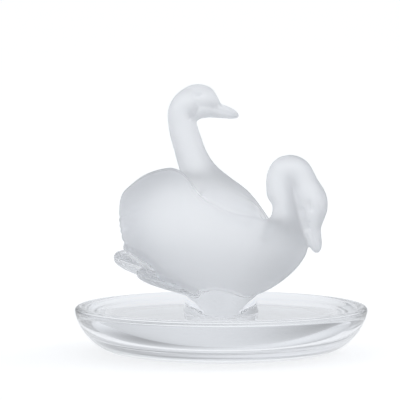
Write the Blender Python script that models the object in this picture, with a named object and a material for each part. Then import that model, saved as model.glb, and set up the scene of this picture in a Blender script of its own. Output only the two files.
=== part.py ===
"""A pair of crystal swans, one with its head up and one with its head bowed, on a round clear dish.

Two castings: the swans with their clear foot, and the thick shallow dish that carries them.
Metres, +Z up. The origin is the middle of the dish's underside, and the swans face +X.
"""

import math

import bmesh
import bpy
import numpy as np
from mathutils import Vector

# The dish.
DISH_DIAMETER = 0.096
DISH_HEIGHT = 0.0150
UNDERSIDE_DIAMETER = 0.068
RIM_WIDTH = 0.0038
RIM_CROWN = 0.0014
DISH_DEPTH = 0.0021
FLOOR_RISE_WIDTH = 0.0085
FOOT_MARGIN = 0.0015
WALL_SPREAD = 1.1
WALL_DROP = 1.3
DISH_SEGMENTS = 64
WALL_POINTS = 9
RIM_POINTS = 5
FLOOR_RISE_POINTS = 3

# The clear foot under the swans, an oval column with a waist, drawn in millimetres above its
# underside: height, half the length, half the depth.
FOOT_LEVELS = (
    (-2.0, 12.8, 19.7), (0.0, 12.5, 19.5), (0.8, 12.1, 19.1), (2.0, 11.9, 18.9), (4.6, 11.7, 18.8),
    (7.0, 11.8, 19.0), (8.4, 12.1, 19.6), (9.6, 12.6, 20.2), (12.0, 12.6, 20.2),
)
FOOT_POINTS = 40
BOND_GAP = 0.0003

# The swans are drawn in millimetres above the foot's underside, and cast at this height.
PAIR_HEIGHT = 0.0742
DRAWN_HEIGHT = 74.2
DRAWN = PAIR_HEIGHT / DRAWN_HEIGHT

# How far each swan stands from the middle of the dish.
SWAN_OFFSET = 11.5

# Skin of the casting: its fineness in drawn millimetres, and the steps of smoothing.
SKIN_FINENESS = 0.62
SOFT_STEPS = 26
LIGHT_STEPS = 2
CAST_TRIANGLES = 7500

# Where the softening stops, in drawn millimetres: at the raised neck, over the tails, at the
# bowed bill and at the ends of the wing feathers.
NECKS_FROM = 56.0
WINGS_TO = -27.0
TAIL_LINE_HIGH = 23.0
TAIL_LINE_SLOPE = 0.62
TAIL_LINE_LOW = 8.5
BILL_FROM = 27.5
SOFT_EDGE = 4.0

# Trunk stations in drawn millimetres: along the swan, underside, back, half the width.
NEAR_TRUNK = (
    (-33.3, 31.4, 32.4, 0.8), (-33.0, 28.0, 36.8, 3.0), (-31.8, 23.8, 40.9, 6.0),
    (-28.5, 19.6, 44.8, 8.8), (-24.0, 15.3, 48.0, 11.0), (-19.0, 12.2, 49.4, 12.6),
    (-15.0, 10.2, 49.5, 13.4), (-11.0, 8.6, 46.5, 13.8), (-8.0, 7.5, 41.6, 14.0),
    (-4.0, 6.7, 37.2, 14.1), (2.0, 5.9, 33.8, 14.2), (8.0, 5.7, 32.4, 13.8),
    (14.0, 7.6, 32.0, 12.8), (19.5, 10.8, 31.2, 11.0), (24.0, 14.6, 28.8, 8.2),
    (27.0, 18.7, 25.9, 4.6), (28.2, 22.0, 23.1, 0.8),
)
FAR_TRUNK = (
    (-31.0, 28.6, 29.8, 0.8), (-30.5, 25.5, 34.0, 3.0), (-29.0, 21.5, 38.0, 5.8),
    (-26.0, 17.3, 41.6, 8.6), (-21.5, 13.6, 44.3, 11.0), (-16.0, 10.3, 45.4, 12.8),
    (-10.0, 8.0, 45.6, 13.6), (-4.0, 6.6, 45.4, 13.9), (1.2, 6.1, 43.8, 13.8),
    (5.5, 6.1, 41.4, 13.3), (9.4, 6.6, 38.2, 12.4), (13.0, 8.0, 33.7, 11.0),
    (16.3, 10.6, 28.8, 8.9), (19.0, 14.3, 24.6, 6.0), (20.4, 18.5, 20.5, 1.5),
)
# The groove between a swan's two wings: where it is deepest, its reach along, its depth.
NEAR_GROOVE = (-19.0, 13.0, 3.2)
FAR_GROOVE = (-20.0, 10.0, 2.6)
GROOVE_HALF_WIDTH = 3.4
GROOVED_FROM = 9.0

# Neck and head stations: along, across from the swan's own plane, up, half thickness in
# the plane of the bend, half width across it.
NEAR_NECK = (
    (20.0, 0.0, 22.0, 8.0, 9.0), (20.4, 0.0, 28.0, 6.3, 6.6), (20.15, 0.0, 33.4, 4.9, 5.0),
    (19.3, 0.0, 37.8, 4.6, 4.6), (18.7, 0.0, 41.3, 4.4, 4.4), (18.7, -0.1, 44.6, 4.35, 4.3),
    (20.0, -0.3, 47.5, 4.3, 4.3), (22.9, -0.7, 48.2, 4.2, 4.3), (25.3, -1.1, 46.7, 4.1, 4.2),
    (27.5, -1.5, 43.2, 3.8, 4.2), (29.3, -1.8, 38.6, 4.7, 4.5), (29.6, -2.0, 35.2, 4.85, 4.5),
    (29.3, -2.1, 31.4, 4.0, 3.9), (29.4, -2.2, 28.0, 2.95, 3.1), (30.2, -2.3, 24.6, 2.4, 2.7),
    (30.8, -2.4, 22.0, 1.75, 2.2), (31.0, -2.4, 20.4, 0.6, 0.8),
)
FAR_NECK = (
    (6.0, 0.0, 27.0, 8.0, 9.0), (0.0, 0.0, 36.0, 7.4, 8.4), (-5.4, 0.0, 42.6, 5.9, 7.0),
    (-8.4, -0.2, 47.0, 5.6, 5.8), (-10.3, -0.4, 51.9, 5.15, 5.1), (-11.8, -0.6, 56.8, 4.85, 4.8),
    (-12.8, -0.8, 61.2, 4.65, 4.6), (-13.1, -1.0, 64.6, 4.4, 4.6), (-11.7, -1.2, 67.2, 4.5, 4.7),
    (-8.8, -1.6, 68.0, 5.8, 4.8), (-5.8, -2.1, 67.6, 5.8, 4.6), (-3.4, -2.5, 66.5, 4.2, 4.0),
    (-1.1, -2.9, 65.3, 2.6, 3.1), (1.4, -3.3, 64.8, 2.1, 2.7), (3.9, -3.8, 64.1, 1.6, 2.4),
    (5.7, -4.1, 63.5, 0.6, 1.0),
)

# The saddle that fills the valley between the two backs: along, top over its middle line, half
# the width, how much it rises across. Then its middle line, its depth, and the power that
# flattens its top and sides.
SADDLE = (
    (-10.0, 32.0, 3.0, 0.27), (-6.5, 38.8, 8.0, 0.34), (-2.0, 39.0, 9.5, 0.38),
    (2.0, 37.9, 9.5, 0.4), (6.0, 36.5, 9.5, 0.33), (10.0, 34.9, 9.5, 0.2),
    (14.0, 32.4, 9.0, 0.0), (17.5, 27.0, 2.0, -0.1),
)
SADDLE_MIDDLE = -3.0
SADDLE_DEPTH = 12.0
SADDLE_SQUARENESS = 0.5

# Tail fans: root and tip of the middle feather (along, up), half the width at root and tip,
# half the thickness at root and tip, how many feathers.
NEAR_TAIL = (
    ((-8.0, 9.0), (-31.9, 22.7), (5.0, 8.8), (3.4, 2.5), 5),
    ((-2.5, 7.0), (-27.7, 13.9), (5.0, 7.4), (3.2, 2.8), 3),
)
FAR_TAIL = (
    ((-8.0, 9.0), (-31.2, 20.7), (5.0, 8.0), (3.4, 1.7), 4),
    ((-3.0, 7.2), (-35.4, 17.1), (5.0, 8.4), (3.4, 4.1), 5),
)
FAN_ROUND = 0.17
FAN_SCALLOP = 0.03
FAN_RIB = 0.14

# The grooves between the long wing feathers, which notch the back edge of the wings: where the
# lowest one starts on the back edge, their spacing, count, rise, reach and depth.
WING_GROOVES_FROM = 22.6
WING_GROOVE_SPACING = 2.9
WING_GROOVE_COUNT = 5
WING_GROOVE_RISE = 0.5
WING_GROOVE_REACH = 11.0
WING_GROOVE_DEPTH = 1.0

NECK_POINTS = 28
TRUNK_POINTS = 96
TRUNK_SAMPLES = 5
FAN_POINTS = 96
FAN_RINGS = 16


def spline(stations, samples):
    """Points on a Catmull-Rom curve through the stations, with the same count between each two."""
    knots = np.array(stations, float)
    padded = np.vstack([2 * knots[0] - knots[1], knots, 2 * knots[-1] - knots[-2]])
    found = []
    for i in range(len(knots) - 1):
        a, b, c, d = padded[i:i + 4]
        for t in np.arange(samples) / samples:
            found.append(0.5 * (2 * b + (c - a) * t + (2 * a - 5 * b + 4 * c - d) * t**2
                                + (3 * b - a - 3 * c + d) * t**3))
    return found + [knots[-1]]


def add_loft(mesh, rings):
    """Joins rings of points into one closed skin, with a flat cap at each end."""
    rows = [[mesh.verts.new(point) for point in ring] for ring in rings]
    for first, second in zip(rows, rows[1:]):
        for i in range(len(first)):
            j = (i + 1) % len(first)
            mesh.faces.new((first[i], first[j], second[j], second[i]))
    mesh.faces.new(rows[0][::-1])
    mesh.faces.new(rows[-1])


def wing_groove(back_edge, along, height):
    """How deep the skin dips here between two wing feathers, deepest at the wing's back edge."""
    ahead = along - back_edge
    line = (height - WING_GROOVES_FROM - WING_GROOVE_RISE * ahead) / WING_GROOVE_SPACING
    if not -0.5 < line < WING_GROOVE_COUNT - 0.5:
        return 0
    fade = max(0, 1 - ahead / WING_GROOVE_REACH)
    return WING_GROOVE_DEPTH * fade * (1 - abs(math.sin(math.pi * line)))**2


def trunk_ring(station, side, groove, back_edge):
    """One cross-section of a swan's trunk: an oval, with the groove between the wings on top and
    the wing feathers on the flanks."""
    along, under, back, half_width = station
    deepest, reach, depth = groove
    middle = (under + back) / 2
    half_height = (back - under) / 2
    sunk = depth * math.exp(-((along - deepest) / reach) ** 4) * min(1, half_width / GROOVED_FROM)
    ring = []
    for i in range(TRUNK_POINTS):
        turn = 2 * math.pi * i / TRUNK_POINTS
        dip = wing_groove(back_edge, along, middle + half_height * math.sin(turn))
        across = max(0, half_width - dip) * math.cos(turn)
        up = max(0, half_height - dip) * math.sin(turn)
        if up > 0:
            up -= sunk * math.exp(-(across / GROOVE_HALF_WIDTH) ** 2)
        ring.append(Vector((along, side + across, middle + up)) * DRAWN)
    return ring


def add_trunk(mesh, stations, side, groove):
    back_edge = stations[0][0]
    samples = spline(stations, TRUNK_SAMPLES)
    add_loft(mesh, [trunk_ring(station, side, groove, back_edge) for station in samples])


def add_neck(mesh, stations, side):
    """Sweeps an oval along the neck, over the crown and out to the tip of the bill."""
    samples = spline(stations, 3)
    points = [Vector((s[0], side + s[1], s[2])) for s in samples]
    rings = []
    for i, sample in enumerate(samples):
        ahead = points[min(i + 1, len(points) - 1)] - points[max(i - 1, 0)]
        ahead.normalize()
        across = (Vector((0, 1, 0)) - ahead * ahead.y).normalized()
        outward = ahead.cross(across)
        ring = []
        for k in range(NECK_POINTS):
            turn = 2 * math.pi * k / NECK_POINTS
            offset = outward * sample[3] * math.cos(turn) + across * sample[4] * math.sin(turn)
            ring.append((points[i] + offset) * DRAWN)
        rings.append(ring)
    add_loft(mesh, rings)


def add_fan(mesh, fan, side):
    """A flat fan of feathers behind the swan, each with a ribbed back and a rounded end."""
    root, tip, half_widths, half_thicknesses, count = fan
    root = Vector((root[0], side, root[1]))
    reach = Vector((tip[0], side, tip[1])) - root
    across = Vector((0, 1, 0))
    upward = across.cross(reach).normalized()
    rings = []
    for step in range(FAN_RINGS + 1):
        share = math.sin(math.pi / 2 * step / FAN_RINGS)
        half_width = half_widths[0] + (half_widths[1] - half_widths[0]) * share
        half_thickness = half_thicknesses[0] + (half_thicknesses[1] - half_thicknesses[0]) * share
        half_thickness *= math.sqrt(max(0.004, 1 - share**8))
        ring = []
        for k in range(FAN_POINTS):
            turn = 2 * math.pi * k / FAN_POINTS
            place = math.cos(turn)
            between = (1 - abs(math.sin(math.pi * count * (place + 1) / 2)))**2
            length = 1 - FAN_ROUND * place**2 - FAN_SCALLOP * between
            thickness = half_thickness * math.sin(turn) * (1 - FAN_RIB * share * between)
            ring.append((root + reach * share * length + across * half_width * place
                         + upward * thickness) * DRAWN)
        rings.append(ring)
    add_loft(mesh, rings)


def add_saddle(mesh):
    """A flat-topped loft that slants up across the valley, from the near back to the far one."""
    rings = []
    for along, top, half_width, slope in spline(SADDLE, TRUNK_SAMPLES):
        ring = []
        for k in range(NECK_POINTS):
            turn = 2 * math.pi * k / NECK_POINTS
            across = half_width * math.copysign(abs(math.cos(turn)) ** SADDLE_SQUARENESS,
                                                math.cos(turn))
            up = SADDLE_DEPTH / 2 * math.copysign(abs(math.sin(turn)) ** SADDLE_SQUARENESS,
                                                  math.sin(turn))
            ring.append(Vector((along, SADDLE_MIDDLE + across,
                                top - SADDLE_DEPTH / 2 + up + slope * across)) * DRAWN)
        rings.append(ring)
    add_loft(mesh, rings)


def add_foot(mesh):
    """The oval column from under the bond to inside the swans, narrowest at its waist."""
    rings = []
    for height, half_length, half_depth in FOOT_LEVELS:
        ring = []
        for k in range(FOOT_POINTS):
            turn = 2 * math.pi * k / FOOT_POINTS
            ring.append(Vector((half_length * math.cos(turn), half_depth * math.sin(turn),
                                height)) * DRAWN)
        rings.append(ring)
    add_loft(mesh, rings)


def material(name, colour, roughness, transmission):
    made = bpy.data.materials.new(name)
    made.use_nodes = True
    shader = made.node_tree.nodes["Principled BSDF"]
    shader.inputs["Base Color"].default_value = (*colour, 1)
    shader.inputs["Roughness"].default_value = roughness
    shader.inputs["Metallic"].default_value = 0.0
    shader.inputs["IOR"].default_value = 1.54
    shader.inputs["Transmission Weight"].default_value = transmission
    return made


def linked(name, mesh_data, finish):
    made = bpy.data.objects.new(name, mesh_data)
    mesh_data.materials.append(finish)
    bpy.context.scene.collection.objects.link(made)
    return made


def rough_casting():
    """All the shapes of the casting, overlapping, in one mesh."""
    mesh = bmesh.new()
    for trunk, groove, neck, tail, side in (
        (NEAR_TRUNK, NEAR_GROOVE, NEAR_NECK, NEAR_TAIL, -SWAN_OFFSET),
        (FAR_TRUNK, FAR_GROOVE, FAR_NECK, FAR_TAIL, SWAN_OFFSET),
    ):
        add_trunk(mesh, trunk, side, groove)
        add_neck(mesh, neck, side)
        for fan in tail:
            add_fan(mesh, fan, side)
    add_saddle(mesh)
    add_foot(mesh)
    bmesh.ops.recalc_face_normals(mesh, faces=mesh.faces)
    data = bpy.data.meshes.new("swan_shapes")
    mesh.to_mesh(data)
    mesh.free()
    return data


def one_skin(data):
    """A single even skin over overlapping shapes, as a voxel remesh makes it."""
    shapes = bpy.data.objects.new("swan_shapes", data)
    bpy.context.scene.collection.objects.link(shapes)
    remesh = shapes.modifiers.new("one_skin", "REMESH")
    remesh.mode = "VOXEL"
    remesh.voxel_size = SKIN_FINENESS * DRAWN
    graph = bpy.context.evaluated_depsgraph_get()
    skin = bpy.data.meshes.new_from_object(shapes.evaluated_get(graph))
    bpy.data.objects.remove(shapes)
    return skin


def trunk_share(point):
    """1 on the trunks, where the joints are broad and soft, and 0 on heads, tails and foot."""
    along = point.x / DRAWN
    height = point.z / DRAWN
    tail_line = max(TAIL_LINE_LOW, TAIL_LINE_HIGH - TAIL_LINE_SLOPE * (along - NEAR_TRUNK[2][0]))
    inside = (
        (NECKS_FROM - height) / SOFT_EDGE,
        (height - tail_line) / SOFT_EDGE,
        (BILL_FROM - along) / SOFT_EDGE,
        (along - WINGS_TO) / SOFT_EDGE,
    )
    return math.prod(min(1, max(0, share)) for share in inside)


def swan_pair(finish):
    pair = linked("swan_pair", one_skin(rough_casting()), finish)
    pair.location.z = DISH_HEIGHT - DISH_DEPTH + BOND_GAP
    group = pair.vertex_groups.new(name="trunks")
    for vertex in pair.data.vertices:
        group.add([vertex.index], trunk_share(vertex.co), "REPLACE")
    soften = pair.modifiers.new("soft_joints", "SMOOTH")
    soften.factor = 0.5
    soften.iterations = SOFT_STEPS
    soften.vertex_group = group.name
    ease = pair.modifiers.new("ease", "SMOOTH")
    ease.factor = 0.5
    ease.iterations = LIGHT_STEPS
    thin = pair.modifiers.new("fewer_faces", "DECIMATE")
    thin.ratio = CAST_TRIANGLES / (2 * len(pair.data.polygons))
    cut = pair.modifiers.new("flat_underside", "BOOLEAN")
    cut.operation = "DIFFERENCE"
    cut.object = underside_cutter(pair.location.z)
    return pair


def underside_cutter(level):
    """A slab whose top face trims the foot flat, just clear of the dish."""
    below, half_length, half_depth = (-FOOT_LEVELS[0][0], *FOOT_LEVELS[0][1:])
    slab = bmesh.new()
    bmesh.ops.create_cube(slab, size=2 * DRAWN)
    bmesh.ops.scale(slab, vec=(2 * half_length, 2 * half_depth, 2 * below), verts=slab.verts)
    data = bpy.data.meshes.new("underside_cutter")
    slab.to_mesh(data)
    slab.free()
    cutter = bpy.data.objects.new("underside_cutter", data)
    cutter.location.z = level - 2 * below * DRAWN
    cutter.hide_render = True
    cutter.display_type = "WIRE"
    bpy.context.scene.collection.objects.link(cutter)
    return cutter


def dish_profile():
    """The dish's outline from the middle of its floor, over the rim and down to the underside."""
    outer = DISH_DIAMETER / 2
    shoulder = DISH_HEIGHT - RIM_CROWN
    floor = DISH_HEIGHT - DISH_DEPTH
    rim_inside = outer - RIM_WIDTH
    foot_reach = FOOT_LEVELS[0][2] * DRAWN + FOOT_MARGIN
    points = [(0.0, floor), (foot_reach, floor)]
    for i in range(FLOOR_RISE_POINTS + 1):
        share = i / (FLOOR_RISE_POINTS + 1)
        rise = (1 - math.cos(math.pi / 2 * share)) * (shoulder - floor)
        points.append((rim_inside - FLOOR_RISE_WIDTH * (1 - share), floor + rise))
    for i in range(RIM_POINTS + 1):
        turn = math.pi * (1 - i / RIM_POINTS)
        points.append((outer - RIM_WIDTH / 2 * (1 - math.cos(turn)),
                       shoulder + RIM_CROWN * math.sin(turn)))
    wall = outer - UNDERSIDE_DIAMETER / 2
    for i in range(1, WALL_POINTS + 1):
        turn = math.pi / 2 * i / WALL_POINTS
        points.append((outer - wall * (1 - math.cos(turn) ** WALL_SPREAD),
                       shoulder * (1 - math.sin(turn) ** WALL_DROP)))
    points.append((0.0, 0.0))
    return points


def dish(finish):
    outline = dish_profile()
    data = bpy.data.meshes.new("dish")
    data.from_pydata([(r, 0, z) for r, z in outline],
                     [(i, i + 1) for i in range(len(outline) - 1)], [])
    made = linked("dish", data, finish)
    turn = made.modifiers.new("turned", "SCREW")
    turn.steps = DISH_SEGMENTS
    turn.render_steps = DISH_SEGMENTS
    turn.use_merge_vertices = True
    turn.merge_threshold = 0.00002
    turn.use_smooth_shade = True
    return made


def main():
    for old in list(bpy.data.objects):
        bpy.data.objects.remove(old)
    dish(material("clear_crystal", (0.93, 0.95, 0.97), 0.02, 1.0))
    swan_pair(material("satin_crystal", (0.90, 0.92, 0.95), 0.62, 0.9))


main()
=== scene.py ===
# %% [markdown]
# # Two crystal swans on a dish
# The real object is a heavy clear dish for rings and pins. On an oval foot in its middle
# stand two swans, cast in one with the foot. The bodies have been dipped in acid, which
# gives a silky satin skin, and the tails and the foot are left clear and polished.
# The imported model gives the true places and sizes, so the lesson begins by loading it.

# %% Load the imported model
import math

import bmesh
import bpy
import numpy as np
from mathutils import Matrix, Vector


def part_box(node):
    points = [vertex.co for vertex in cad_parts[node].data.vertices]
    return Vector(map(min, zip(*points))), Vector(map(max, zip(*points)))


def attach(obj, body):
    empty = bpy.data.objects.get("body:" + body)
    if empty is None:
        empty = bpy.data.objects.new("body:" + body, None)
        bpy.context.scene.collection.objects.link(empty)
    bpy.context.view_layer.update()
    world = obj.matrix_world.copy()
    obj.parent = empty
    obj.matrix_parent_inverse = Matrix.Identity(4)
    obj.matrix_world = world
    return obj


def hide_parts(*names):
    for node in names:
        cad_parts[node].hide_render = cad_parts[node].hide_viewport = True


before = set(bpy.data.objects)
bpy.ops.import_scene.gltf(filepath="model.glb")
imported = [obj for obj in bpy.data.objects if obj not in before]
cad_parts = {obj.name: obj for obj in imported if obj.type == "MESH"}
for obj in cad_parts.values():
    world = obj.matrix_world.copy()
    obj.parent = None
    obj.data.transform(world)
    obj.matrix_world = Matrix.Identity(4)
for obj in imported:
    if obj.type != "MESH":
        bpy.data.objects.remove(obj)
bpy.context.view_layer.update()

# %% [markdown]
# ## Units and where the foot stands
# A sculptor measures in millimetres up from the foot, so the swans are drawn that way. Each
# one is drawn around its own middle plane and then moved sideways, the bowed one towards
# the camera and the raised one away from it. The foot stands a thin gap above the dish's floor,
# as the two solids must not touch. A real bond is just as thin and is lost at this size.

# %% The drawing's units
MM = 0.001
DISH_FLOOR = 12.9
BOND_GAP = 0.3
DRAWN_FLOOR = 13.2
NEAR_SIDE = -11.5
FAR_SIDE = 11.5
low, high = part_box("swan_pair")
print("the CAD casting stands from", round(low.z / MM, 2), "to", round(high.z / MM, 2), "mm")

# %% [markdown]
# ## Curves through stations
# A body is drawn as a boat is: a few stations give its size along its length, and a smooth
# curve runs through them. A Catmull-Rom curve passes through every station, so each number
# can be read straight off the real piece.


# %% A smooth curve through stations
def through(stations, per_gap):
    """Rows on a Catmull-Rom curve: between two stations b and c with neighbours a and d,
    half of (2b + (c-a)t + (2a-5b+4c-d)t^2 + (3b-a-3c+d)t^3), with t from 0 to 1."""
    knots = np.array(stations, float)
    padded = np.vstack([2 * knots[0] - knots[1], knots, 2 * knots[-1] - knots[-2]])
    along = np.linspace(0, len(knots) - 1, per_gap * (len(knots) - 1) + 1)
    first = np.minimum(along.astype(int), len(knots) - 2)
    t = (along - first)[:, None]
    a, b, c, d = (padded[first + step] for step in range(4))
    return (2 * b + (c - a) * t + (2 * a - 5 * b + 4 * c - d) * t**2
            + (3 * b - a - 3 * c + d) * t**3) / 2


def around(count):
    """Angles once around a ring, as one row."""
    return np.linspace(0, 2 * math.pi, count, endpoint=False)[None, :]


# %% [markdown]
# ## The trunks
# A swan at rest is a boat with its wings folded over its back. Each trunk is a row of ovals:
# along, underside, back, half the width. The bowed swan lifts its wings behind in a high
# round lobe, and its back dips before the neck. Between the wings runs a shallow groove, and
# on each flank the long wing feathers part in fine grooves that notch the wing's back edge.

# %% Trunk stations in drawn millimetres
NEAR_TRUNK = (
    (-33.3, 31.4, 32.4, 0.8), (-33.0, 28.0, 36.8, 3.0), (-31.8, 23.8, 40.9, 6.0),
    (-28.5, 19.6, 44.8, 8.8), (-24.0, 15.3, 48.0, 11.0), (-19.0, 12.2, 49.4, 12.6),
    (-15.0, 10.2, 49.5, 13.4), (-11.0, 8.6, 46.5, 13.8), (-8.0, 7.5, 41.6, 14.0),
    (-4.0, 6.7, 37.2, 14.1), (2.0, 5.9, 33.8, 14.2), (8.0, 5.7, 32.4, 13.8),
    (14.0, 7.6, 32.0, 12.8), (19.5, 10.8, 31.2, 11.0), (24.0, 14.6, 28.8, 8.2),
    (27.0, 18.7, 25.9, 4.6), (28.2, 22.0, 23.1, 0.8),
)
FAR_TRUNK = (
    (-31.0, 28.6, 29.8, 0.8), (-30.5, 25.5, 34.0, 3.0), (-29.0, 21.5, 38.0, 5.8),
    (-26.0, 17.3, 41.6, 8.6), (-21.5, 13.6, 44.3, 11.0), (-16.0, 10.3, 45.4, 12.8),
    (-10.0, 8.0, 45.6, 13.6), (-4.0, 6.6, 45.4, 13.9), (1.2, 6.1, 43.8, 13.8),
    (5.5, 6.1, 41.4, 13.3), (9.4, 6.6, 38.2, 12.4), (13.0, 8.0, 33.7, 11.0),
    (16.3, 10.6, 28.8, 8.9), (19.0, 14.3, 24.6, 6.0), (20.4, 18.5, 20.5, 1.5),
)
NEAR_GROOVE = (-19.0, 13.0, 3.2)
FAR_GROOVE = (-20.0, 10.0, 2.6)
GROOVE_HALF_WIDTH = 3.4
GROOVED_FROM = 9.0
LOWEST_WING_GROOVE = 22.6
WING_GROOVE_SPACING = 2.9
WING_GROOVE_COUNT = 5
WING_GROOVE_RISE = 0.5
WING_GROOVE_REACH = 11.0
WING_GROOVE_DEPTH = 1.0


# %% The trunk's surface
def wing_groove(ahead, height):
    """Grooves at even spacing along the wing's back edge, each a V cut by (1 - |sin|)^2. They
    rise forwards, are deepest at the back edge and fade out ahead of it."""
    line = (height - LOWEST_WING_GROOVE - WING_GROOVE_RISE * ahead) / WING_GROOVE_SPACING
    fade = np.clip(1 - ahead / WING_GROOVE_REACH, 0, 1)
    on_wing = (line > -0.5) & (line < WING_GROOVE_COUNT - 0.5)
    return WING_GROOVE_DEPTH * fade * on_wing * (1 - abs(np.sin(math.pi * line))) ** 2


TRUNK_STEPS = 12
TRUNK_RING = 240


def trunk(stations, side, groove):
    """Point (s, a): at station s an oval, half-width times cos a across and half-height times
    sin a up, both less the wing grooves. The upper half is also less a bell-shaped groove
    that fades along the trunk."""
    rows = through(stations, TRUNK_STEPS)
    along, under, back, half_width = (rows[:, [k]] for k in range(4))
    turn = around(TRUNK_RING)
    middle, half_height = (under + back) / 2, (back - under) / 2
    dip = wing_groove(along - rows[0, 0], middle + half_height * np.sin(turn))
    across = np.maximum(half_width - dip, 0) * np.cos(turn)
    up = np.maximum(half_height - dip, 0) * np.sin(turn)
    deepest, reach, depth = groove
    sunk = depth * np.exp(-((along - deepest) / reach) ** 4)
    sunk = sunk * np.clip(half_width / GROOVED_FROM, 0, 1) * np.exp(-(across / GROOVE_HALF_WIDTH) ** 2)
    up = up - np.where(up > 0, sunk, 0)
    return np.stack([along + 0 * across, side + across, middle + up], axis=-1)


near_trunk = trunk(NEAR_TRUNK, NEAR_SIDE, NEAR_GROOVE)
far_trunk = trunk(FAR_TRUNK, FAR_SIDE, FAR_GROOVE)
print("trunk grids:", near_trunk.shape, far_trunk.shape)

# %% [markdown]
# ## Necks and heads
# Neck, head and bill are one long tapering tube along a bent line. At each station the tube
# has a half thickness in the plane of the bend and a half width across it. The head is only
# a thicker stretch of the same tube, and the bill a thin flat one.

# %% Neck and head stations: along, across, up, half thickness, half width
NEAR_NECK = (
    (20.0, 0.0, 22.0, 8.0, 9.0), (20.4, 0.0, 28.0, 6.3, 6.6), (20.15, 0.0, 33.4, 4.9, 5.0),
    (19.4, 0.0, 37.8, 4.7, 4.6), (18.9, 0.0, 41.3, 4.6, 4.4), (18.8, -0.1, 44.6, 4.45, 4.3),
    (20.0, -0.3, 47.5, 4.3, 4.3), (22.9, -0.7, 48.2, 4.2, 4.3), (25.3, -1.1, 46.7, 4.1, 4.2),
    (27.3, -1.5, 43.1, 4.0, 4.2), (29.1, -1.8, 38.6, 4.9, 4.5), (29.6, -2.0, 35.2, 4.85, 4.5),
    (29.3, -2.1, 31.4, 4.0, 3.9), (29.4, -2.2, 28.0, 2.95, 3.1), (30.2, -2.3, 24.6, 2.4, 2.7),
    (30.8, -2.4, 22.0, 1.75, 2.2), (31.0, -2.4, 20.4, 0.6, 0.8),
)
FAR_NECK = (
    (6.0, 0.0, 27.0, 8.0, 9.0), (0.0, 0.0, 36.0, 7.4, 8.4), (-5.4, 0.0, 42.6, 5.9, 7.0),
    (-8.4, -0.2, 47.0, 5.6, 5.8), (-10.3, -0.4, 51.9, 5.15, 5.1), (-11.8, -0.6, 56.8, 4.85, 4.8),
    (-12.8, -0.8, 61.2, 4.65, 4.6), (-13.1, -1.0, 64.6, 4.4, 4.6), (-11.7, -1.2, 67.2, 4.5, 4.7),
    (-8.8, -1.6, 68.0, 5.8, 4.8), (-5.8, -2.1, 67.6, 5.8, 4.6), (-3.4, -2.5, 66.5, 4.2, 4.0),
    (-1.1, -2.9, 65.3, 2.6, 3.1), (1.4, -3.3, 64.8, 2.1, 2.7), (3.9, -3.8, 64.1, 1.6, 2.4),
    (5.7, -4.1, 63.5, 0.6, 1.0),
)


# %% A tube along a bent line
def frames(line):
    """For each point of a line: the way ahead, the level way across it, and the third way."""
    ahead = np.gradient(line, axis=0)
    ahead /= np.linalg.norm(ahead, axis=1, keepdims=True)
    across = np.array([0.0, 1.0, 0.0]) - ahead * ahead[:, [1]]
    across /= np.linalg.norm(across, axis=1, keepdims=True)
    return ahead, across, np.cross(ahead, across)


def tube(rows, side, count):
    """Point (s, a): the line's point at s, plus the third way times thickness times cos a,
    plus the way across times width times sin a."""
    line = rows[:, :3] + np.array([0, side, 0])
    _, across, outward = frames(line)
    turn = around(count)[..., None]
    return (line[:, None] + outward[:, None] * rows[:, None, [3]] * np.cos(turn)
            + across[:, None] * rows[:, None, [4]] * np.sin(turn))


NECK_STEPS = 8
NECK_RING = 72
near_neck = tube(through(NEAR_NECK, NECK_STEPS), NEAR_SIDE, NECK_RING)
far_neck = tube(through(FAR_NECK, NECK_STEPS), FAR_SIDE, NECK_RING)
print("neck grids:", near_neck.shape, far_neck.shape)

# %% [markdown]
# ## The saddle
# The two backs don't stand apart: the mould leaves a slope of crystal between them, which
# rises from the near back to the far breast. It is a flat-topped loft with a slanting roof.

# %% The saddle: along, top over its middle line, half width, rise across
SADDLE = (
    (-10.0, 32.0, 3.0, 0.27), (-6.5, 38.8, 8.0, 0.34), (-2.0, 39.0, 9.5, 0.38),
    (2.0, 37.9, 9.5, 0.4), (6.0, 36.5, 9.5, 0.33), (10.0, 34.9, 9.5, 0.2),
    (14.0, 32.4, 9.0, 0.0), (17.5, 27.0, 2.0, -0.1),
)
SADDLE_MIDDLE = -3.0
SADDLE_DEPTH = 12.0
SADDLE_SQUARENESS = 0.5
SADDLE_STEPS = 10
SADDLE_RING = 72


def signed_power(value, power):
    """The size raised to a power, with the sign kept. Below 1 it squares off a circle."""
    return np.sign(value) * abs(value) ** power


def saddle_loft(stations):
    """Point (s, a): half-width times the squared-off cos a across, half the depth times the
    squared-off sin a up, and the slope times the way across."""
    rows = through(stations, SADDLE_STEPS)
    along, top, half_width, slope = (rows[:, [k]] for k in range(4))
    turn = around(SADDLE_RING)
    across = half_width * signed_power(np.cos(turn), SADDLE_SQUARENESS)
    up = SADDLE_DEPTH / 2 * signed_power(np.sin(turn), SADDLE_SQUARENESS)
    return np.stack([along + 0 * across, SADDLE_MIDDLE + across,
                     top - SADDLE_DEPTH / 2 + up + slope * across], axis=-1)


saddle = saddle_loft(SADDLE)
print("saddle grid:", saddle.shape)

# %% [markdown]
# ## Tail fans
# Under the wings the clear tails spread in flat fans of feathers, one layer over the other.
# A fan is a flat tube that widens from root to tip. Between its feathers its back dips in a
# rib line and its end is notched, and its outer feathers are shorter than the middle one.

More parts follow.
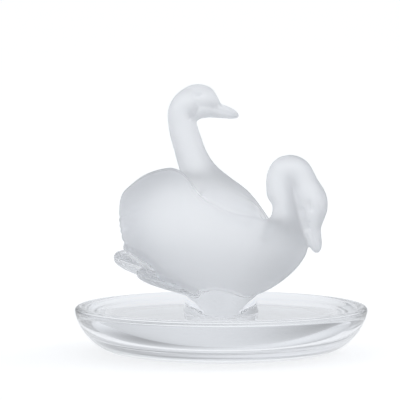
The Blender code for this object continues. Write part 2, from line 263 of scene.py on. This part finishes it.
# %% Tail fans: root, tip, half widths, half thicknesses, feathers
NEAR_TAIL = (
    ((-8.0, 9.0), (-31.9, 22.7), (5.0, 8.8), (3.4, 2.5), 5),
    ((-2.5, 7.0), (-27.7, 13.9), (5.0, 7.4), (3.2, 2.8), 3),
)
FAR_TAIL = (
    ((-8.0, 9.0), (-31.2, 20.7), (5.0, 8.0), (3.4, 1.7), 4),
    ((-3.0, 7.2), (-35.4, 17.1), (5.0, 8.4), (3.4, 4.1), 5),
)
FAN_ROUND = 0.17
FAN_SCALLOP = 0.03
FAN_RIB = 0.14
FAN_STEPS = 60
FAN_RING = 320
THINNEST_TIP = 0.004


def fan(root, tip, half_widths, half_thicknesses, count, side):
    """Point (s, a): share s of the way from root to tip, shortened by round * cos^2 a and by
    the notches; half-width times cos a across; half-thickness times sin a up, less the ribs
    and closed at the tip by the square root of 1 - s^8."""
    share = np.sin(math.pi / 2 * np.linspace(0, 1, FAN_STEPS))[:, None]
    turn = around(FAN_RING)
    place = np.cos(turn)
    between = (1 - abs(np.sin(math.pi * count * (place + 1) / 2))) ** 2
    half_width = half_widths[0] + (half_widths[1] - half_widths[0]) * share
    thickness = half_thicknesses[0] + (half_thicknesses[1] - half_thicknesses[0]) * share
    closing = np.sqrt(np.clip(1 - share**8, THINNEST_TIP, 1))
    thickness = thickness * closing * (1 - FAN_RIB * share * between)
    length = share * (1 - FAN_ROUND * place**2 - FAN_SCALLOP * between)
    root, tip = (np.array([end[0], side, end[1]]) for end in (root, tip))
    across = np.array([0.0, 1.0, 0.0])
    upward = np.cross(across, tip - root)
    upward /= np.linalg.norm(upward)
    return (root + length[..., None] * (tip - root) + (half_width * place)[..., None] * across
            + (thickness * np.sin(turn))[..., None] * upward)


plumage = [fan(*shape, side) for layers, side in ((NEAR_TAIL, NEAR_SIDE), (FAR_TAIL, FAR_SIDE))
           for shape in layers]
print("tail fans:", len(plumage))

# %% [markdown]
# ## The foot
# The clear foot is an oval column. Seen from the side it has a slight waist, and seen from
# the end it widens upwards into the bellies, so that its front leans over its base.

# %% The foot's surface: height, half length, half depth
FOOT_LEVELS = (
    (-2.0, 12.4, 18.4), (0.0, 12.3, 18.5), (1.2, 12.1, 18.8), (2.4, 11.9, 19.05), (4.6, 11.8, 19.5),
    (7.0, 11.9, 20.0), (8.4, 12.1, 20.3), (9.6, 12.5, 20.5), (12.0, 12.5, 20.5),
)
FOOT_STEPS = 6
FOOT_RING = 144


def foot(levels):
    """Point (s, a): at level s an oval, half-length times cos a along, half-depth times sin a."""
    rows = through(levels, FOOT_STEPS)
    turn = around(FOOT_RING)
    height, half_length, half_depth = (rows[:, [k]] for k in range(3))
    return np.stack([half_length * np.cos(turn), half_depth * np.sin(turn),
                     height + 0 * turn], axis=-1)


foot_column = foot(FOOT_LEVELS)
print("foot grid:", foot_column.shape)

# %% [markdown]
# ## From many shapes to one skin
# The shapes overlap, but crystal is one solid mass, and light must meet no walls inside it.
# A voxel remesh wraps everything in a single skin. It works from a grid of small cubes, so
# the cube size sets the detail: 0.44 mm is near the size of a pixel of the picture.


# %% Grids into a mesh
def closed_grid(grid, first):
    """Quads between neighbouring rows and around each ring, with a cap on both end rings.
    The numbering starts at first. Returns points and faces."""
    rows, count = grid.shape[:2]
    number = first + np.arange(rows * count).reshape(rows, count)
    quads = np.stack([number[:-1], np.roll(number[:-1], -1, 1), np.roll(number[1:], -1, 1),
                      number[1:]], axis=-1).reshape(-1, 4)
    caps = [number[0][::-1].tolist(), number[-1].tolist()]
    return grid.reshape(-1, 3), quads.tolist() + caps


def mesh_of(name, grids):
    """One mesh with all the grids in it, faces turned outwards, in metres."""
    points, faces, first = [], [], 0
    for grid in grids:
        more_points, more_faces = closed_grid(grid, first)
        points.append(more_points)
        faces += more_faces
        first += len(more_points)
    mesh = bpy.data.meshes.new(name)
    mesh.from_pydata(np.vstack(points) * MM, [], faces)
    work = bmesh.new()
    work.from_mesh(mesh)
    bmesh.ops.recalc_face_normals(work, faces=work.faces)
    work.to_mesh(mesh)
    work.free()
    return mesh


# %% One skin
SKIN_FINENESS = 0.44


def one_skin(mesh, fineness):
    """The mesh's voxel remesh, as a new mesh."""
    shapes = bpy.data.objects.new(mesh.name, mesh)
    bpy.context.scene.collection.objects.link(shapes)
    remesh = shapes.modifiers.new("one_skin", "REMESH")
    remesh.mode = "VOXEL"
    remesh.voxel_size = fineness * MM
    skin = bpy.data.meshes.new_from_object(
        shapes.evaluated_get(bpy.context.evaluated_depsgraph_get()))
    bpy.data.objects.remove(shapes)
    return skin


shapes = [near_trunk, far_trunk, near_neck, far_neck, saddle, foot_column] + plumage
skin = one_skin(mesh_of("swan_shapes", shapes), SKIN_FINENESS)
print("skin:", len(skin.vertices), "points,", len(skin.polygons), "faces")

# %% [markdown]
# ## Soft joints
# A mould is cut with soft hollows where neck meets breast and swan meets swan. Letting every
# point drift towards the mean of its neighbours melts the creases. A share from 0 to 1 keeps
# heads, tails and foot crisp. The voxels leave a fine ripple, which polished crystal would
# show, so the points are evened out, and those on the foot are put on its true oval.


# %% Where the skin is softened
def eased(value):
    """0 below 0, 1 above 1, and a smooth 3t^2 - 2t^3 between."""
    t = np.clip(value, 0, 1)
    return t * t * (3 - 2 * t)


def read_points(mesh):
    """The mesh's points as rows, in drawn millimetres."""
    flat = np.empty(len(mesh.vertices) * 3)
    mesh.vertices.foreach_get("co", flat)
    return flat.reshape(-1, 3) / MM


def write_points(mesh, points):
    """Rows of drawn millimetres put back into the mesh, in metres."""
    mesh.vertices.foreach_set("co", (points * MM).ravel())
    mesh.update()


RAISED_NECK_FROM = 56.0
BOWED_BILL_FROM = 27.5
WING_ENDS_FROM = -27.0
TAIL_TIP = (-31.5, 23.0)
TAIL_FALL = 0.62
TAIL_ROOT_HEIGHT = 8.5
SHARE_STEP = 4.0


def trunk_share(points):
    """1 on the trunks and 0 up the raised neck, below the tail line, on the bowed bill and on
    the ends of the wing feathers, with a soft step at each."""
    along, _, height = points.T
    tail_line = np.maximum(TAIL_ROOT_HEIGHT, TAIL_TIP[1] - TAIL_FALL * (along - TAIL_TIP[0]))
    inside = (RAISED_NECK_FROM - height, height - tail_line, BOWED_BILL_FROM - along,
              along - WING_ENDS_FROM)
    return np.prod([np.clip(depth / SHARE_STEP, 0, 1) for depth in inside], axis=0)


def step_to_mean(points, edges, neighbours, share):
    """Every point moved by its share of the way to the mean of its neighbours."""
    total = np.stack([np.bincount(edges[:, 0], points[edges[:, 1], k], len(points))
                      for k in range(3)], axis=1)
    return points + share[:, None] * (total / neighbours[:, None] - points)


def softened(points, edges, share, rounds):
    """Rounds of moving a point half of its share of the way, which melts a crease."""
    neighbours = np.bincount(edges[:, 0], minlength=len(points))
    for _ in range(rounds):
        points = step_to_mean(points, edges, neighbours, share / 2)
    return points


STEP_IN = 0.5
STEP_BACK = -0.53


def evened(points, edges, rounds):
    """Rounds of one step to the mean and one a little longer back again: the ripple of the
    voxels goes, and the form keeps its size."""
    neighbours = np.bincount(edges[:, 0], minlength=len(points))
    whole = np.ones(len(points))
    for _ in range(rounds):
        points = step_to_mean(points, edges, neighbours, STEP_IN * whole)
        points = step_to_mean(points, edges, neighbours, STEP_BACK * whole)
    return points


TRUE_BELOW = 8.5
TRUE_FADE = 3.5
NEAR_OVAL = 0.09
NEAR_FADE = 0.05


def onto_foot(points):
    """The foot is ground true: a point below the bellies and near the foot's oval moves onto
    it, to the same angle on the oval of its own height, with a smooth fade upwards."""
    along, across, height = points.T
    rows = through(FOOT_LEVELS, FOOT_STEPS)
    half_length, half_depth = (np.interp(height, rows[:, 0], rows[:, k]) for k in (1, 2))
    turn = np.arctan2(across / half_depth, along / half_length)
    off = np.hypot(along / half_length, across / half_depth) - 1
    share = eased((TRUE_BELOW - height) / TRUE_FADE) * eased((NEAR_OVAL - abs(off)) / NEAR_FADE)
    true = np.stack([half_length * np.cos(turn), half_depth * np.sin(turn), height], axis=1)
    return points + share[:, None] * (true - points)


MELTING_ROUNDS = 50
WHOLE_ROUNDS = 4
EVENING_ROUNDS = 24
edges = np.empty(len(skin.edges) * 2, dtype=np.int64)
skin.edges.foreach_get("vertices", edges)
edges = edges.reshape(-1, 2)
edges = np.concatenate([edges, edges[:, ::-1]])
points = read_points(skin)
points = softened(points, edges, trunk_share(points), MELTING_ROUNDS)
points = softened(points, edges, np.ones(len(points)), WHOLE_ROUNDS)
points = evened(points, edges, EVENING_ROUNDS)
points = onto_foot(points)
write_points(skin, points)
print("softened:", np.round(points.min(0), 1), np.round(points.max(0), 1))

# %% [markdown]
# ## Carved lines
# The mould maker cuts small lines last: the eyes and brows, the edge of each bill, the notches
# at the back of the wing and the hollow between the folded wing's front and the breast. Each
# is a short stroke that pushes the skin in, or out where its depth is negative.

# %% Strokes: ends along and up, half width, depth, side
STROKES = (
    ((-8.3, 70.3), (-7.0, 70.3), 0.75, 1.0, FAR_SIDE),
    ((-8.9, 72.6), (-5.0, 72.0), 0.8, -0.3, FAR_SIDE),
    ((-8.0, 67.2), (-2.6, 66.2), 0.9, 0.7, FAR_SIDE),
    ((-2.0, 66.0), (4.0, 64.0), 0.6, 0.5, FAR_SIDE),
    ((-9.6, 62.6), (-7.6, 65.6), 0.9, 0.8, FAR_SIDE),
    ((28.6, 36.8), (29.0, 35.0), 0.75, 1.0, NEAR_SIDE),
    ((30.6, 38.2), (31.8, 34.8), 0.8, -0.5, NEAR_SIDE),
    ((26.2, 34.4), (27.6, 28.6), 0.9, 0.7, NEAR_SIDE),
    ((28.4, 30.2), (30.6, 22.0), 0.6, 0.6, NEAR_SIDE),
    ((15.4, 35.2), (13.6, 28.0), 2.4, 1.3, NEAR_SIDE),
    ((13.6, 28.0), (9.4, 20.5), 2.6, 1.3, NEAR_SIDE),
    ((9.4, 20.5), (6.4, 11.5), 2.6, 0.8, NEAR_SIDE),
    ((-34.0, 31.8), (-31.0, 32.6), 0.5, 0.3, NEAR_SIDE),
    ((-34.0, 29.8), (-31.0, 30.7), 0.5, 0.25, NEAR_SIDE),
    ((-34.0, 27.7), (-31.0, 28.8), 0.5, 0.3, NEAR_SIDE),
    ((-34.0, 25.8), (-31.0, 27.0), 0.5, 0.25, NEAR_SIDE),
)


STROKE_REACH = 15.0
STROKE_FADE = 10.0


def carved(points, mesh):
    """Each point moved inwards along its normal by depth * exp(-(distance / half width)^2),
    with the distance from the stroke's line seen from the side. A stroke cuts both cheeks
    alike, and grows faint towards the flanks."""
    normals = np.empty(len(points) * 3)
    mesh.vertices.foreach_get("normal", normals)
    moved = points.copy()
    for start, end, half_width, depth, side in STROKES:
        start, way = np.array(start), np.subtract(end, start)
        from_start = points[:, [0, 2]] - start
        share = np.clip(from_start @ way / (way @ way), 0, 1)
        distance = np.linalg.norm(from_start - share[:, None] * way, axis=1)
        near = np.clip((STROKE_REACH - abs(points[:, 1] - side)) / STROKE_FADE, 0, 1)
        sunk = depth * near * np.exp(-((distance / half_width) ** 2))
        moved -= sunk[:, None] * normals.reshape(-1, 3)
    return moved


write_points(skin, carved(points, skin))
print("strokes carved:", len(STROKES))

# %% [markdown]
# ## The flat underside
# The casting is ground flat where it is bonded. A plane cuts the skin and a cap closes it.

# %% Grind the foot flat
work = bmesh.new()
work.from_mesh(skin)
ground = (DISH_FLOOR + BOND_GAP - DRAWN_FLOOR) * MM
cut = bmesh.ops.bisect_plane(work, geom=work.verts[:] + work.edges[:] + work.faces[:],
                             plane_co=(0, 0, ground), plane_no=(0, 0, -1), clear_outer=True)
rim = [edge for edge in cut["geom_cut"] if isinstance(edge, bmesh.types.BMEdge)]
bmesh.ops.edgeloop_fill(work, edges=rim)
bmesh.ops.translate(work, verts=work.verts, vec=(0, 0, DRAWN_FLOOR * MM))
work.to_mesh(skin)
open_edges = sum(1 for edge in work.edges if not edge.is_manifold)
work.free()
swans = bpy.data.objects.new("swan_casting", skin)
bpy.context.scene.collection.objects.link(swans)
print("open edges:", open_edges)

# %% [markdown]
# ## Satin and polish
# The acid took the shine off the bodies, necks and heads. Tails and foot were masked with
# wax and stayed clear, the tails with a haze. The line between them is kept on the mesh as a
# number from 0, polished, to 1, satin, so the material can read it.

# %% Where the satin ends
SATIN_LINE = ((-60.0, 30.0), (-31.0, 21.7), (-24.8, 18.4), (-22.5, 16.8), (-20.4, 13.1),
              (-17.6, 11.2), (-14.6, 10.8), (-11.2, 8.7), (-7.6, 6.9), (0.0, 4.0), (60.0, 0.0))

TAIL_HAZE = 0.42
FOOT_OVAL = (12.9, 21.0)
FOOT_OVAL_EDGE = 0.05
FOOT_TOP = 10.2
SATIN_EDGE = 0.7


def satin(points):
    """1 above the satin line drawn along the swans, the tails' slight haze below it, and 0 in
    the foot's oval."""
    along, across, height = points.T
    line = np.interp(along, *np.array(SATIN_LINE).T)
    above_tails = eased((height - line) / SATIN_EDGE + 0.5)
    oval = np.hypot(along / FOOT_OVAL[0], across / FOOT_OVAL[1])
    below_bellies = eased((FOOT_TOP - height) / SATIN_EDGE + 0.5)
    in_foot = eased((1.0 - oval) / FOOT_OVAL_EDGE + 0.5) * below_bellies
    return np.maximum(above_tails, TAIL_HAZE) * (1 - in_foot)


def keep_number(mesh, name, values):
    """One number for each point, kept on the mesh under a name."""
    mesh.attributes.new(name, "FLOAT", "POINT").data.foreach_set("value", values.astype(np.float32))


from_foot = read_points(skin) - np.array([0, 0, DRAWN_FLOOR])
satin_share = satin(from_foot)
keep_number(skin, "satin", satin_share)
skin.polygons.foreach_set("use_smooth", np.ones(len(skin.polygons), dtype=bool))
print("satin on", round(100 * satin_share.mean()), "per cent of the points")

# %% [markdown]
# ## The dish
# The dish is pressed glass, turned about its axis: a nearly flat tray, a rounded rim and a
# full outer wall that curves in to the flat underside. Its outline is one line of points,
# and turning it makes the piece.

# %% The dish's outline
DISH_RADIUS = 48.0
DISH_HEIGHT = 15.0
RIM_WIDTH = 3.8
RIM_CROWN = 1.4
UNDERSIDE_RADIUS = 34.0
FLOOR_RISE_WIDTH = 8.5
RISE_STEEPNESS = 3.0
WALL_SPREAD = 1.1
WALL_DROP = 1.3
FLAT_POINTS = 9
RISE_POINTS = 36
RIM_POINTS = 12
WALL_POINTS = 40
DISH_RING = 192


def dish_outline():
    """Radius and height from the middle of the floor, over the rim, to the underside: a rise
    of (1 - cos(pi t^n)) / 2, which stays low and then climbs to the rim, a quarter oval over
    it, and a full quarter oval down the wall, whose way in is 1 - cos to one power and whose
    way down is sin to another."""
    shoulder = DISH_HEIGHT - RIM_CROWN
    inside = DISH_RADIUS - RIM_WIDTH
    flat = np.linspace(0.02, 0.96, FLAT_POINTS)[:, None] * [[inside - FLOOR_RISE_WIDTH, 0]]
    flat = flat + [[0, DISH_FLOOR]]
    share = np.linspace(0, 1, RISE_POINTS)[:-1, None]
    reach = FLOOR_RISE_WIDTH + RIM_WIDTH / 2
    climb = (1 - np.cos(math.pi * share**RISE_STEEPNESS)) / 2
    rise = np.hstack([inside - FLOOR_RISE_WIDTH + reach * share,
                      DISH_FLOOR + (DISH_HEIGHT - DISH_FLOOR) * climb])
    turn = np.linspace(math.pi / 2, 0, RIM_POINTS)[:, None]
    over = np.hstack([DISH_RADIUS - RIM_WIDTH / 2 * (1 - np.cos(turn)),
                      shoulder + RIM_CROWN * np.sin(turn)])
    turn = np.linspace(0, math.pi / 2, WALL_POINTS)[1:, None]
    inwards = (DISH_RADIUS - UNDERSIDE_RADIUS) * (1 - np.cos(turn) ** WALL_SPREAD)
    wall = np.hstack([DISH_RADIUS - inwards, shoulder * (1 - np.sin(turn) ** WALL_DROP)])
    flat_under = np.linspace(0.97, 0.02, FLAT_POINTS)[:, None] * [[UNDERSIDE_RADIUS, 0]]
    return np.vstack([flat, rise, over, wall, flat_under])


def turned(outline, count):
    """Point (s, a): the outline's radius times cos a and sin a, at the outline's height."""
    turn = around(count)
    radius, height = outline[:, [0]], outline[:, [1]]
    return np.stack([radius * np.cos(turn), radius * np.sin(turn), height + 0 * turn], axis=-1)


dish_mesh = mesh_of("crystal_dish", [turned(dish_outline(), DISH_RING)])
dish_mesh.polygons.foreach_set("use_smooth", np.ones(len(dish_mesh.polygons), dtype=bool))
dish = bpy.data.objects.new("crystal_dish", dish_mesh)
bpy.context.scene.collection.objects.link(dish)
print("dish:", len(dish_mesh.polygons), "faces")

# %% [markdown]
# ## Colours and nodes
# Colours are written as sRGB hex values, as a paint program shows them. Blender's shaders
# want linear light, so one function converts them. A second one adds a node.


# %% Colour and node helpers
def linear(code):
    """The sRGB curve undone: value / 12.92 in the dark part, else ((v + 0.055) / 1.055)^2.4."""
    value = np.array([int(code[i:i + 2], 16) for i in (1, 3, 5)]) / 255
    value = np.where(value <= 0.04045, value / 12.92, ((value + 0.055) / 1.055) ** 2.4)
    return (*value.tolist(), 1.0)


def add_node(tree, kind, settings=None, links=None):
    """Adds a node. Settings name its properties or its input sockets, by name or number.
    Links join other nodes' output sockets to its inputs."""
    added = tree.nodes.new(kind)
    for name, value in (settings or {}).items():
        if isinstance(name, str) and hasattr(added, name):
            setattr(added, name, value)
        else:
            added.inputs[name].default_value = value
    for name, output in (links or {}).items():
        tree.links.new(output, added.inputs[name])
    return added


# %% [markdown]
# ## Lead crystal, satin and polished
# Lead crystal bends light more than window glass, with an IOR near 1.545. Satin etching
# leaves fine pits: light still comes through, but every ray is scattered, so the swans glow
# softly and show no image behind them. A noise with spots of a quarter of a millimetre, drawn
# coarser than the pits so that it shows, stands for the uneven bite of the acid.

# %% Crystal for the swans
CRYSTAL_IOR = 1.545
SATIN_ROUGHNESS = 0.6
SATIN_UNEVENNESS = 0.05
POLISHED_ROUGHNESS = 0.03
GRIT_SIZE = 0.25


def crystal(name):
    """A see-through crystal: almost colourless, with a breath of blue in its depth. Returns
    the material, its node tree and its shader."""
    material = bpy.data.materials.new(name)
    material.use_nodes = True
    shader = material.node_tree.nodes["Principled BSDF"]
    shader.inputs["Base Color"].default_value = linear("#FCFDFF")
    shader.inputs["IOR"].default_value = CRYSTAL_IOR
    shader.inputs["Transmission Weight"].default_value = 1.0
    return material, material.node_tree, shader


satin_crystal, tree, shader = crystal("satin_and_polished_lead_crystal")
place = add_node(tree, "ShaderNodeTexCoord")
etched = add_node(tree, "ShaderNodeAttribute", {"attribute_name": "satin"})
grain = add_node(tree, "ShaderNodeTexNoise", {"Scale": 1 / (GRIT_SIZE * MM), "Detail": 2.0},
                 {"Vector": place.outputs["Object"]})
grit = add_node(tree, "ShaderNodeMapRange", {"To Min": SATIN_ROUGHNESS - SATIN_UNEVENNESS,
                                             "To Max": SATIN_ROUGHNESS + SATIN_UNEVENNESS},
                {"Value": grain.outputs["Fac"]})
rough = add_node(tree, "ShaderNodeMapRange", {"To Min": POLISHED_ROUGHNESS},
                 {"Value": etched.outputs["Fac"], "To Max": grit.outputs["Result"]})
tree.links.new(rough.outputs["Result"], shader.inputs["Roughness"])
skin.materials.clear()
skin.materials.append(satin_crystal)
print("swans:", satin_crystal.name)

# %% [markdown]
# The dish is pressed in a mould and then fire-polished, so it is smooth but not optically
# flat. Patches of a faint haze, some 8 mm across, blur a few of the edges seen through it.

# %% Crystal for the dish
HAZE_PATCHES_PER_METRE = 120.0
HAZE_MOST = 0.03
clear_crystal, tree, shader = crystal("polished_lead_crystal")
place = add_node(tree, "ShaderNodeTexCoord")
haze = add_node(tree, "ShaderNodeTexNoise", {"Scale": HAZE_PATCHES_PER_METRE, "Detail": 3.0},
                {"Vector": place.outputs["Object"]})
rough = add_node(tree, "ShaderNodeMapRange", {"From Min": 0.35, "From Max": 0.75,
                                              "To Min": 0.0, "To Max": HAZE_MOST},
                 {"Value": haze.outputs["Fac"]})
tree.links.new(rough.outputs["Result"], shader.inputs["Roughness"])
dish_mesh.materials.append(clear_crystal)
print("dish:", clear_crystal.name)

# %% [markdown]
# ## Ride the frame
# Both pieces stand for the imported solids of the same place, and ride on the only body.

# %% Replace the solids
for piece, node in ((swans, "swan_pair"), (dish, "dish")):
    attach(piece, "root")
    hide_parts(node)
    print(piece.name, "stands for", node)

# %% [markdown]
# ## Floor, light and camera
# The picture was taken on a white sweep. A broad pale floor fills the frame and glows a
# little, as backlit acrylic does. The camera sees it brighter than the glass does, so that it
# stays plain white behind the grey of the crystal.

# %% The floor
FLOOR_GLOW = 0.54
FLOOR_GLOW_SEEN = 0.65
FLOOR_REACH = 8.0
FLOOR_LEVEL = -0.0002
sides = ((-1, -1), (1, -1), (1, 1), (-1, 1))
corners = [(x * FLOOR_REACH, y * FLOOR_REACH, FLOOR_LEVEL) for x, y in sides]
floor_mesh = bpy.data.meshes.new("pale_floor")
floor_mesh.from_pydata(corners, [], [(0, 1, 2, 3)])
floor = bpy.data.objects.new("pale_floor", floor_mesh)
bpy.context.scene.collection.objects.link(floor)
table = bpy.data.materials.new("lit_white_acrylic")
table.use_nodes = True
tree = table.node_tree
shader = tree.nodes["Principled BSDF"]
shader.inputs["Base Color"].default_value = linear("#C3C5C7")
shader.inputs["Roughness"].default_value = 0.9
shader.inputs["Emission Color"].default_value = linear("#FFFFFF")
ray = add_node(tree, "ShaderNodeLightPath")
glow = add_node(tree, "ShaderNodeMapRange", {"To Min": FLOOR_GLOW, "To Max": FLOOR_GLOW_SEEN},
                {"Value": ray.outputs["Is Camera Ray"]})
tree.links.new(glow.outputs["Result"], shader.inputs["Emission Strength"])
floor_mesh.materials.append(table)
print("floor:", 2 * FLOOR_REACH, "m wide")

# %% [markdown]
# Crystal shows only what is around it, so the room is what draws the swans. It glows evenly,
# with soft patches of light and dark in it, where panels and black cards would stand. Each
# patch adds its strength times the cosine of the angle from its middle to the sixth power.

# %% The room's light: way round, way up (degrees), strength
ROOM_GLOW = 0.79
PANEL_POWER = 6.0
PANELS = (
    (0, 10, 0.16), (45, 10, -0.17), (90, 10, 0.03), (135, 10, -0.45), (180, 10, 0.05),
    (225, 10, -0.35), (270, 10, -0.28), (315, 10, 0.35), (0, 50, -0.42),
    (90, 50, 0.08), (180, 50, 0.12), (270, 50, -0.3), (0, 90, -0.06),
)
world = bpy.data.worlds.new("studio_room")
world.use_nodes = True
tree = world.node_tree
toward = add_node(tree, "ShaderNodeTexCoord")
total = add_node(tree, "ShaderNodeValue")
total.outputs["Value"].default_value = ROOM_GLOW
for way_round, way_up, strength in PANELS:
    turn, rise = math.radians(way_round), math.radians(way_up)
    middle = (math.cos(turn) * math.cos(rise), math.sin(turn) * math.cos(rise), math.sin(rise))
    facing = add_node(tree, "ShaderNodeVectorMath", {"operation": "DOT_PRODUCT", 1: middle},
                      {0: toward.outputs["Generated"]})
    ahead = add_node(tree, "ShaderNodeMath", {"operation": "MAXIMUM", 1: 0.0},
                     {0: facing.outputs["Value"]})
    fade = add_node(tree, "ShaderNodeMath", {"operation": "POWER", 1: PANEL_POWER},
                    {0: ahead.outputs["Value"]})
    total = add_node(tree, "ShaderNodeMath", {"operation": "MULTIPLY_ADD", 1: strength},
                     {0: fade.outputs["Value"], 2: total.outputs["Value"]})
tree.nodes["Background"].inputs["Color"].default_value = linear("#F8FBFF")
tree.links.new(total.outputs["Value"], tree.nodes["Background"].inputs["Strength"])
bpy.context.scene.world = world
print("patches in the room:", len(PANELS))

# %% [markdown]
# One soft box stands high at the back on the right. It is there to lay the dish's faint
# shadow on the floor to the left, so it is hidden from reflections and from the glass.

# %% The shadow's soft box
BOX_AT = (0.75, 0.35, 0.8)
BOX_SIZE = 0.5
BOX_POWER = 1.6
shadow_light = bpy.data.lights.new("back_right_box", "AREA")
shadow_light.size = BOX_SIZE
shadow_light.energy = BOX_POWER
shadow_box = bpy.data.objects.new("back_right_box", shadow_light)
shadow_box.location = BOX_AT
shadow_box.rotation_euler = (0, math.atan2(BOX_AT[0], BOX_AT[2]), math.atan2(BOX_AT[1], BOX_AT[0]))
shadow_box.visible_glossy = False
shadow_box.visible_transmission = False
bpy.context.scene.collection.objects.link(shadow_box)
print("soft box:", shadow_light.energy, "W")

# %% [markdown]
# The picture was taken from a little above the dish with a long lens, which keeps the far rim
# nearly as wide as the near one. The lens follows from how wide a metre at the target is.

# %% The camera
PICTURE_WIDTH = 400
SENSOR_WIDTH = 36
VIEW_DISTANCE = 1.5
PIXELS_PER_METRE = 3057
VIEW_DOWN = math.radians(4.75)
VIEW_TARGET = np.array([-0.00693, 0.0, 0.0497])
lens = bpy.data.cameras.new("camera")
lens.sensor_width = SENSOR_WIDTH
lens.lens = SENSOR_WIDTH * VIEW_DISTANCE * PIXELS_PER_METRE / PICTURE_WIDTH
camera = bpy.data.objects.new("camera", lens)
backwards = np.array([0, -math.cos(VIEW_DOWN), math.sin(VIEW_DOWN)])
camera.location = VIEW_TARGET + VIEW_DISTANCE * backwards
camera.rotation_euler = (math.pi / 2 - VIEW_DOWN, 0, 0)
bpy.context.scene.collection.objects.link(camera)
bpy.context.scene.camera = camera
bpy.context.scene.view_settings.view_transform = "Standard"
print("lens:", round(lens.lens, 1), "mm")

# %% [markdown]
# ## Bounces of light in the glass
# Light that enters thick glass is often reflected many times before it finds a way out. A
# path that is given up early would come out black, so glass gets more bounces than usual.

# %% More bounces
BOUNCES = 24
for kind in ("max_bounces", "glossy_bounces", "transmission_bounces"):
    setattr(bpy.context.scene.cycles, kind, BOUNCES)
print("bounces:", BOUNCES)
